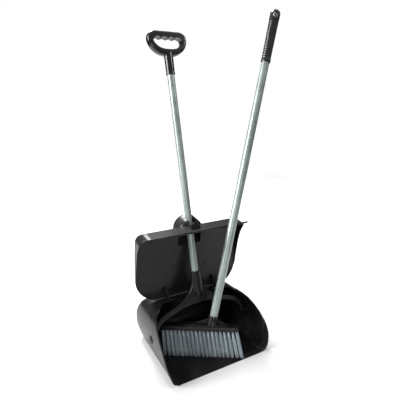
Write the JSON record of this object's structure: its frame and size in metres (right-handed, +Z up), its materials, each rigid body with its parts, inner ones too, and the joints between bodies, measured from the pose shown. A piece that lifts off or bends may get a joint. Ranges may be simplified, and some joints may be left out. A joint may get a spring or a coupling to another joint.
{
  "type": "closing dust pan and brush set",
  "caption": "Upright dust pan with a hinged cover and long loop handle, and a long-handled brush that stands in the pan.",
  "frame": {"origin": "on the pan's underside, straight below the handle's pivot, on the pan's middle plane", "axes": "+Z up along the handles, +X across the pan to the right, -Y out of the pan's mouth"},
  "size_m": [0.4818, 0.3385, 0.9826],
  "materials": {
    "pan_plastic": "semi-gloss",
    "block_plastic": "satin",
    "grip_plastic": "gloss",
    "pin_plastic": "satin",
    "steel": "satin",
    "painted_tube": "satin",
    "bristle": "matte"
  },
  "bodies": {
    "pan": {"pan_shell": "pan_plastic", "pivot_pin_left": "pin_plastic", "pivot_pin_right": "pin_plastic", "hinge_bracket_left": "pin_plastic", "hinge_bracket_right": "pin_plastic", "hinge_pin_left": "steel", "hinge_pin_right": "steel"},
    "handle": {"handle_yoke": "pan_plastic", "pan_tube": "painted_tube", "d_grip": "grip_plastic"},
    "lid": {"lid_shell": "pan_plastic", "lid_finger_left": "pan_plastic", "lid_finger_right": "pan_plastic"},
    "brush": {"brush_block": "block_plastic", "bristle_row_1": "bristle", "bristle_row_2": "bristle", "bristle_row_3": "bristle", "bristle_row_4": "bristle", "bristle_row_5": "bristle", "brush_tube": "painted_tube", "brush_grip": "grip_plastic"}
  },
  "joints": [
    {"name": "handle_pivot", "type": "hinge", "parent": "pan", "child": "handle", "pos_m": [0, 0, 0.074], "axis": [1, 0, 0], "range_deg": [0, 101.5]},
    {"name": "lid_hinge", "type": "hinge", "parent": "pan", "child": "lid", "pos_m": [0, 0.052, 0.146], "axis": [1, 0, 0], "range_deg": [0, 115.5]},
    {"name": "brush_lift", "type": "slide", "parent": "pan", "child": "brush", "axis": [0.5, -0.75, 0.433], "range_m": [0, 0.8]}
  ],
  "couplings": [
    {"joint": "lid_hinge", "follows": "handle_pivot", "ratio": 1.1364},
    {"joint": "brush_lift", "follows": "handle_pivot", "m_per_rad": 0.45}
  ]
}
